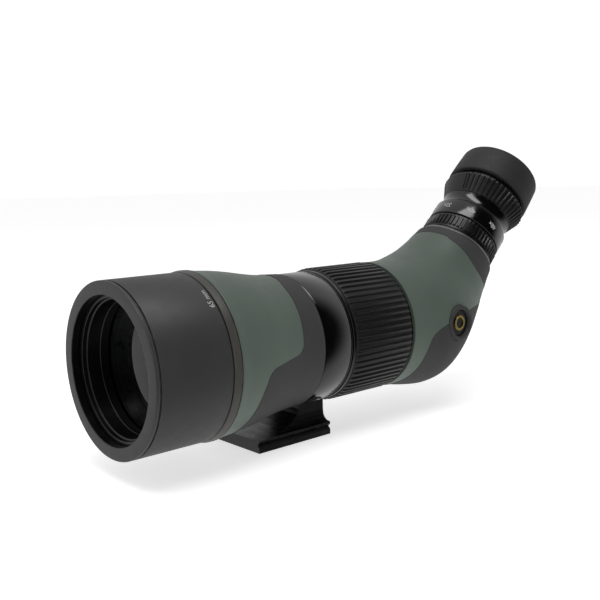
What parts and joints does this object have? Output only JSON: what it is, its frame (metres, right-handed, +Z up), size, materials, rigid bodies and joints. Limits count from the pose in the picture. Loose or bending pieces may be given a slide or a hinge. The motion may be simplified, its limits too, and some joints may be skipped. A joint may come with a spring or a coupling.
{
  "type": "spotting scope",
  "caption": "Compact angled spotting scope with sliding sunshade, barrel focus ring, zoom eyepiece with twist-up eyecup, and a rotating collar on a dovetail tripod foot.",
  "frame": {"origin": "middle of the dovetail foot's underside", "axes": "+X along the optical axis towards the objective, +Z up, +Y to the scope's left"},
  "size_m": [0.3235, 0.0938, 0.1593],
  "materials": {
    "collar_ring_black_gloss": "gloss black anodising",
    "foot_block_black_satin": "satin black anodising",
    "foot_screw_1_steel": "bright steel",
    "foot_screw_2_steel": "bright steel",
    "tripod_socket_steel": "bright steel",
    "lock_knob_black_gloss": "gloss black anodising",
    "brake_shoe_brass": "machined brass",
    "front_barrel_green_paint": "semi-gloss green paint",
    "front_armour_rubber": "fine-grained black rubber",
    "band_ring_band": "dark grey-brown paint",
    "objective_cell_black_matt": "matt black anodising",
    "lens_retainer_black_matt": "matt black anodising",
    "front_lens_glass": "coated optical glass",
    "lens_spacer_black_matt": "matt black anodising",
    "rear_lens_glass": "coated optical glass",
    "seat_ring_black_matt": "matt black anodising",
    "chassis_tube_black_matt": "matt black anodising",
    "front_baffle_black_matt": "matt black anodising",
    "rear_baffle_black_matt": "matt black anodising",
    "rear_housing_green_paint": "semi-gloss green paint",
    "rear_armour_rubber": "fine-grained black rubber",
    "neck_armour_rubber": "fine-grained black rubber",
    "badge_bezel_rubber": "fine-grained black rubber",
    "badge_disc_black_gloss": "gloss black anodising",
    "badge_emblem_gold": "gold-coloured metal",
    "prism_glass": "coated optical glass",
    "prism_plate_black_matt": "matt black anodising",
    "prism_clip_steel": "bright steel",
    "neck_ring_pale_metal": "grey anodised aluminium",
    "eyepiece_socket_black_matt": "matt black anodising",
    "sunshade_black_satin": "satin black anodising",
    "focus_sleeve_black_satin": "satin black anodising",
    "focus_grip_rubber": "fine-grained black rubber",
    "focus_cell_black_matt": "matt black anodising",
    "focus_lens_glass": "coated optical glass",
    "focus_pin_brass": "machined brass",
    "lock_ring_black_satin": "satin black anodising",
    "eyepiece_barrel_black_matt": "matt black anodising",
    "field_lens_glass": "coated optical glass",
    "eye_lens_glass": "coated optical glass",
    "eye_lens_ring_black_satin": "satin black anodising",
    "zoom_scale_ring_black_gloss": "gloss black anodising",
    "zoom_grip_rubber": "fine-grained black rubber",
    "zoom_cell_1_black_matt": "matt black anodising",
    "zoom_lens_1_glass": "coated optical glass",
    "zoom_cell_2_black_matt": "matt black anodising",
    "zoom_lens_2_glass": "coated optical glass",
    "click_ring_brass": "machined brass",
    "eyecup_sleeve_black_satin": "satin black anodising",
    "eyecup_rubber": "fine-grained black rubber"
  },
  "bodies": {
    "mount": {"collar_ring": "collar_ring_black_gloss", "foot_block": "foot_block_black_satin", "foot_screw_1": "foot_screw_1_steel", "foot_screw_2": "foot_screw_2_steel", "tripod_socket": "tripod_socket_steel"},
    "clamp_knob": {"lock_knob": "lock_knob_black_gloss"},
    "clamp_shoe": {"brake_shoe": "brake_shoe_brass"},
    "scope": {"front_barrel": "front_barrel_green_paint", "front_armour": "front_armour_rubber", "band_ring": "band_ring_band", "objective_cell": "objective_cell_black_matt", "lens_retainer": "lens_retainer_black_matt", "front_lens": "front_lens_glass", "lens_spacer": "lens_spacer_black_matt", "rear_lens": "rear_lens_glass", "seat_ring": "seat_ring_black_matt", "chassis_tube": "chassis_tube_black_matt", "front_baffle": "front_baffle_black_matt", "rear_baffle": "rear_baffle_black_matt", "rear_housing": "rear_housing_green_paint", "rear_armour": "rear_armour_rubber", "neck_armour": "neck_armour_rubber", "badge_bezel": "badge_bezel_rubber", "badge_disc": "badge_disc_black_gloss", "badge_emblem": "badge_emblem_gold", "prism": "prism_glass", "prism_plate": "prism_plate_black_matt", "prism_clip": "prism_clip_steel", "neck_ring": "neck_ring_pale_metal", "eyepiece_socket": "eyepiece_socket_black_matt"},
    "hood": {"sunshade": "sunshade_black_satin"},
    "focus_ring": {"focus_sleeve": "focus_sleeve_black_satin", "focus_grip": "focus_grip_rubber"},
    "focus_carrier": {"focus_cell": "focus_cell_black_matt", "focus_lens": "focus_lens_glass", "focus_pin": "focus_pin_brass"},
    "eyepiece_lock": {"lock_ring": "lock_ring_black_satin"},
    "eyepiece": {"eyepiece_barrel": "eyepiece_barrel_black_matt", "field_lens": "field_lens_glass", "eye_lens": "eye_lens_glass", "eye_lens_ring": "eye_lens_ring_black_satin"},
    "zoom_ring": {"zoom_scale_ring": "zoom_scale_ring_black_gloss", "zoom_grip": "zoom_grip_rubber"},
    "zoom_group_1": {"zoom_cell_1": "zoom_cell_1_black_matt", "zoom_lens_1": "zoom_lens_1_glass"},
    "zoom_group_2": {"zoom_cell_2": "zoom_cell_2_black_matt", "zoom_lens_2": "zoom_lens_2_glass"},
    "eyecup_ring": {"click_ring": "click_ring_brass"},
    "eyecup_body": {"eyecup_sleeve": "eyecup_sleeve_black_satin", "eyecup": "eyecup_rubber"}
  },
  "joints": [
    {"name": "collar_turn", "type": "hinge", "parent": "mount", "child": "scope", "pos_m": [-0.0173, 0, 0.0528], "axis": [1, 0, 0], "continuous": true},
    {"name": "knob_turn", "type": "hinge", "parent": "mount", "child": "clamp_knob", "pos_m": [-0.0173, -0.045, 0.0528], "axis": [0, -1, 0], "range_deg": [0, 180]},
    {"name": "shoe_slide", "type": "slide", "parent": "mount", "child": "clamp_shoe", "axis": [0, -1, 0], "range_m": [0, 0.00041]},
    {"name": "sunshade_slide", "type": "slide", "parent": "scope", "child": "hood", "axis": [1, 0, 0], "range_m": [0, 0.028]},
    {"name": "focus_turn", "type": "hinge", "parent": "scope", "child": "focus_ring", "pos_m": [-0.055, 0, 0.0528], "axis": [1, 0, 0], "range_deg": [-170, 170]},
    {"name": "focus_slide", "type": "slide", "parent": "scope", "child": "focus_carrier", "axis": [1, 0, 0], "range_m": [-0.0081, 0.0081]},
    {"name": "lock_turn", "type": "hinge", "parent": "scope", "child": "eyepiece_lock", "pos_m": [-0.16078, 0, 0.09537], "axis": [-0.7046, 0, 0.7096], "range_deg": [0, 30]},
    {"name": "eyepiece_release", "type": "slide", "parent": "scope", "child": "eyepiece", "axis": [-0.7046, 0, 0.7096], "range_m": [0, 0.022]},
    {"name": "zoom_turn", "type": "hinge", "parent": "eyepiece", "child": "zoom_ring", "pos_m": [-0.17839, 0, 0.11311], "axis": [-0.7046, 0, 0.7096], "range_deg": [-80, 80]},
    {"name": "zoom_slide_1", "type": "slide", "parent": "eyepiece", "child": "zoom_group_1", "axis": [-0.7046, 0, 0.7096], "range_m": [-0.0062, 0.0062]},
    {"name": "zoom_slide_2", "type": "slide", "parent": "eyepiece", "child": "zoom_group_2", "axis": [-0.7046, 0, 0.7096], "range_m": [-0.0052, 0.0052]},
    {"name": "eyecup_turn", "type": "hinge", "parent": "eyepiece", "child": "eyecup_ring", "pos_m": [-0.19037, 0, 0.12518], "axis": [-0.7046, 0, 0.7096], "range_deg": [0, 180]},
    {"name": "eyecup_rise", "type": "slide", "parent": "eyecup_ring", "child": "eyecup_body", "axis": [-0.7046, 0, 0.7096], "range_m": [0, 0.0101]}
  ],
  "couplings": [
    {"joint": "shoe_slide", "follows": "knob_turn", "m_per_rad": 0.00012732},
    {"joint": "focus_slide", "follows": "focus_turn", "m_per_rad": 0.002696},
    {"joint": "zoom_slide_1", "follows": "zoom_turn", "m_per_rad": 0.004297},
    {"joint": "zoom_slide_2", "follows": "zoom_turn", "m_per_rad": -0.003581},
    {"joint": "eyecup_rise", "follows": "eyecup_turn", "m_per_rad": 0.003183}
  ]
}
